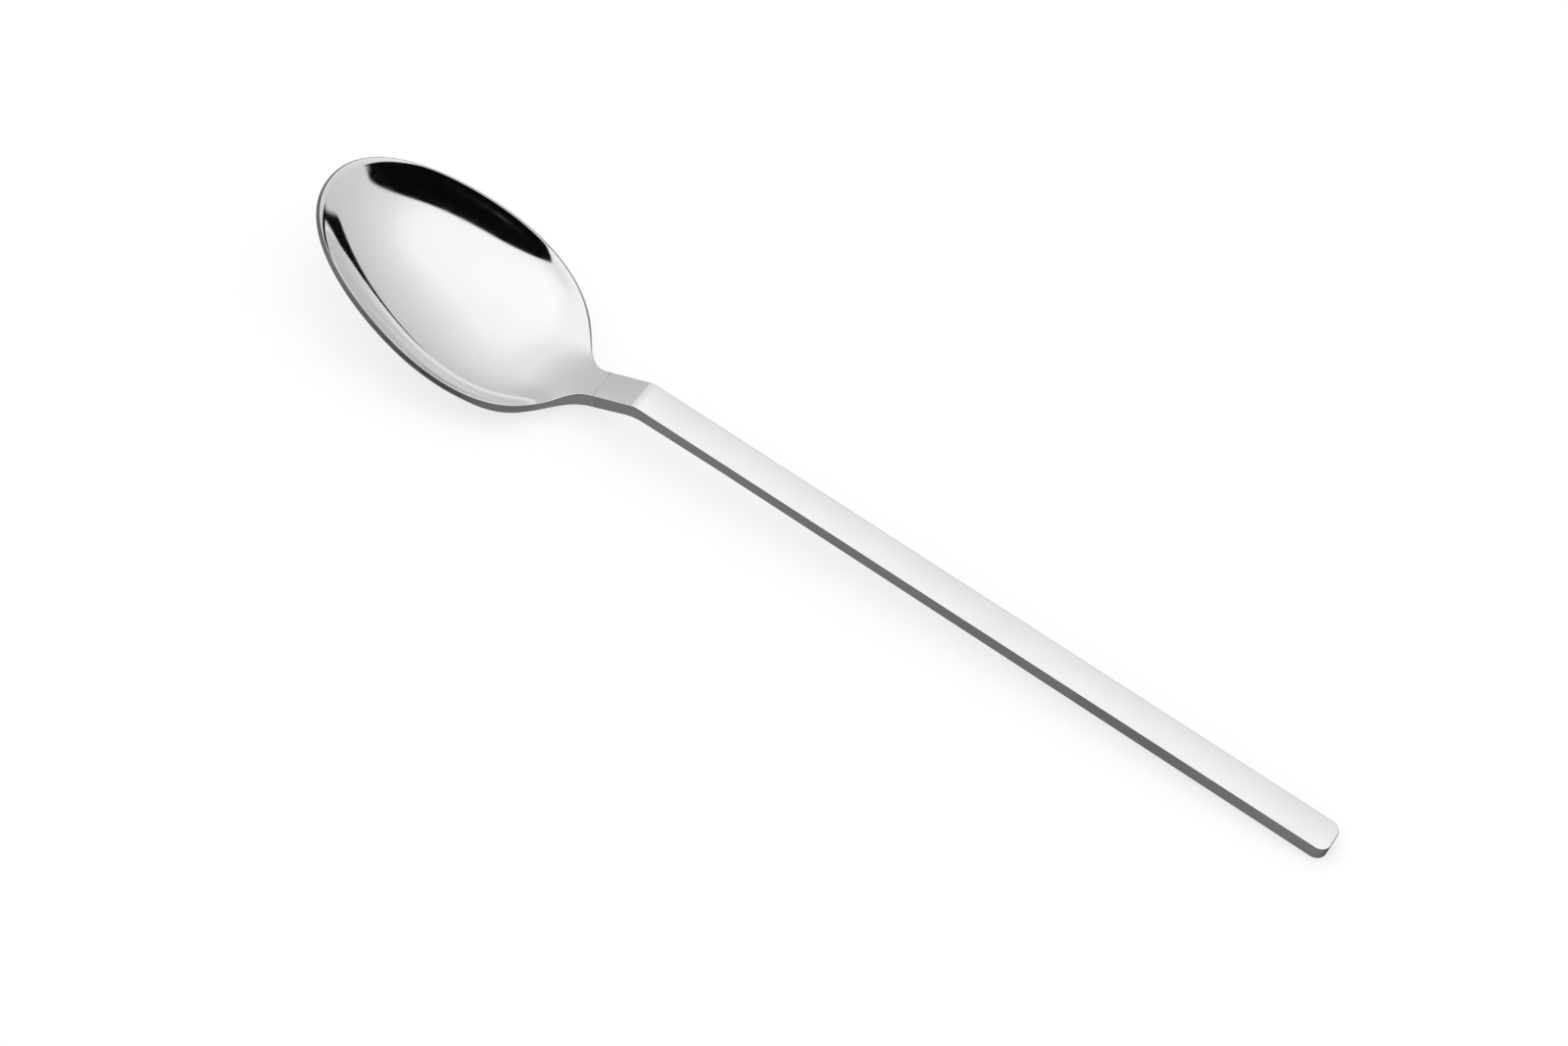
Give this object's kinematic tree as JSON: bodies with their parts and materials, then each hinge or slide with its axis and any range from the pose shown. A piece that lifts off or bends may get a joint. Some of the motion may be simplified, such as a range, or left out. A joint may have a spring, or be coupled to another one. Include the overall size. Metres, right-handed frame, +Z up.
{
  "type": "tablespoon",
  "caption": "Polished metal tablespoon with a deep egg-shaped bowl, a cranked neck and a slim flat bar handle with a square, round-cornered end, for eating and serving.",
  "frame": {"origin": "on the table surface that the spoon lies on, below the middle of its bounding box", "axes": "+X along the spoon from the tip of the bowl to the end of the handle, +Y across it, +Z up from the table, out of the hollow of the bowl"},
  "size_m": [0.2046, 0.0398, 0.0165],
  "materials": {
    "bowl_steel": "mirror-polished stainless steel",
    "handle_steel": "mirror-polished stainless steel"
  },
  "bodies": {
    "root": {"bowl": "bowl_steel", "handle": "handle_steel"}
  },
  "joints": []
}
